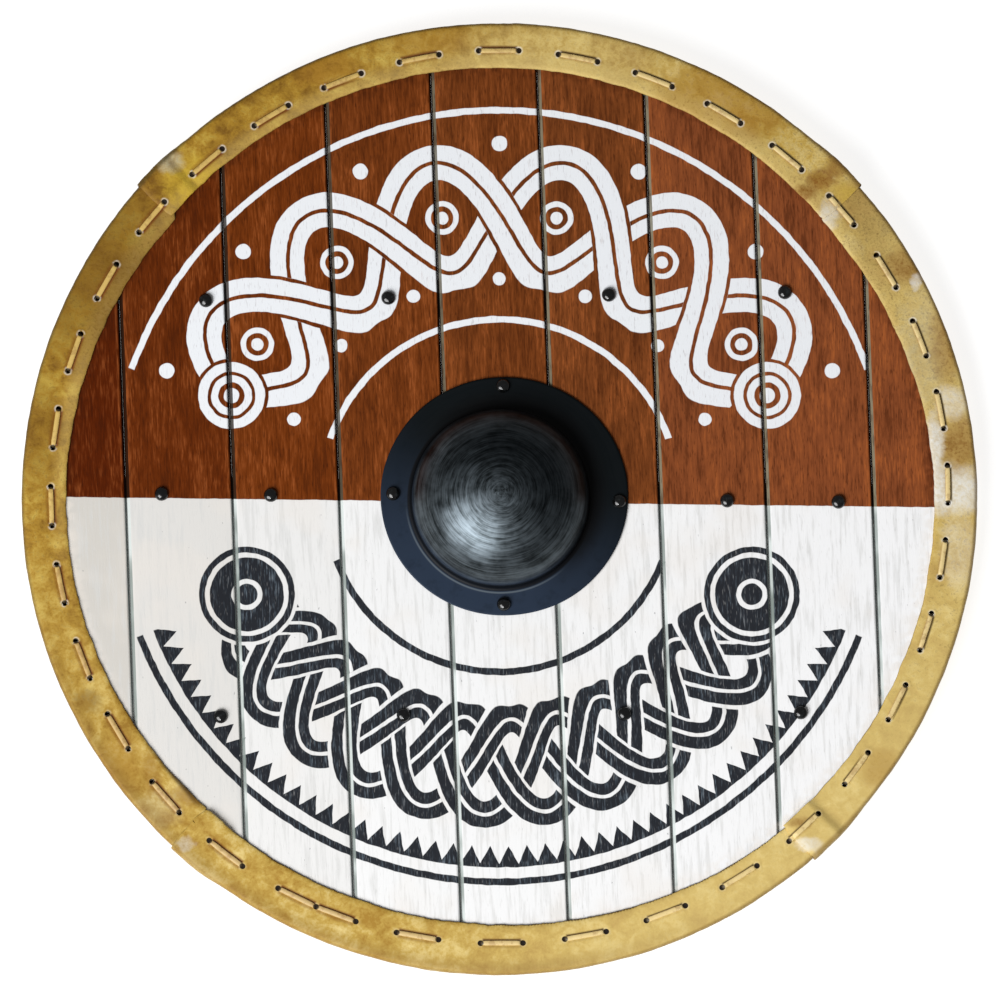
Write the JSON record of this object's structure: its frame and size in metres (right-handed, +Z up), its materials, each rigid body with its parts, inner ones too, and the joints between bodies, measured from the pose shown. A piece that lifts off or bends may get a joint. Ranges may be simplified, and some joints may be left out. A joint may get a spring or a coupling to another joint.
{
  "type": "round shield",
  "caption": "Round plank shield with a domed iron boss, a laced rawhide rim, and a grip and battens riveted behind.",
  "frame": {"origin": "on the surface that the shield lies on, under the middle of the disc", "axes": "+Z up, out of the painted face; +Y to the top of the face as the picture shows it; +X to its right"},
  "size_m": [0.8021, 0.8012, 0.0896],
  "materials": {
    "planks": "softwood boards, red-brown gloss stain above the middle and thin white paint below it",
    "planks_white": "softwood board under thin white paint",
    "bars": "oiled wood, planed",
    "rawhide": "mottled yellow rawhide, dry and slightly glossy",
    "lace": "pale rawhide lace",
    "boss_iron": "blue-black steel, satin, brushed in rings on the dome",
    "rivet_iron": "black iron, slightly glossy"
  },
  "bodies": {
    "root": {"plank_1": "planks", "plank_2": "planks", "plank_3": "planks", "plank_4": "planks", "plank_5_upper": "planks", "plank_5_lower": "planks_white", "plank_6": "planks", "plank_7": "planks", "plank_8": "planks", "plank_9": "planks", "rim_strip_top": "rawhide", "rim_strip_left": "rawhide", "rim_strip_bottom": "rawhide", "rim_strip_right": "rawhide", "lace": "lace", "batten_upper": "bars", "batten_lower": "bars", "grip_bar": "bars", "boss": "boss_iron", "rivet_upper_1": "rivet_iron", "rivet_upper_2": "rivet_iron", "rivet_upper_3": "rivet_iron", "rivet_upper_4": "rivet_iron", "rivet_middle_1": "rivet_iron", "rivet_middle_2": "rivet_iron", "rivet_middle_3": "rivet_iron", "rivet_middle_4": "rivet_iron", "rivet_lower_1": "rivet_iron", "rivet_lower_2": "rivet_iron", "rivet_lower_3": "rivet_iron", "rivet_lower_4": "rivet_iron", "rivet_boss_right": "rivet_iron", "rivet_boss_top": "rivet_iron", "rivet_boss_left": "rivet_iron", "rivet_boss_bottom": "rivet_iron"}
  },
  "joints": []
}
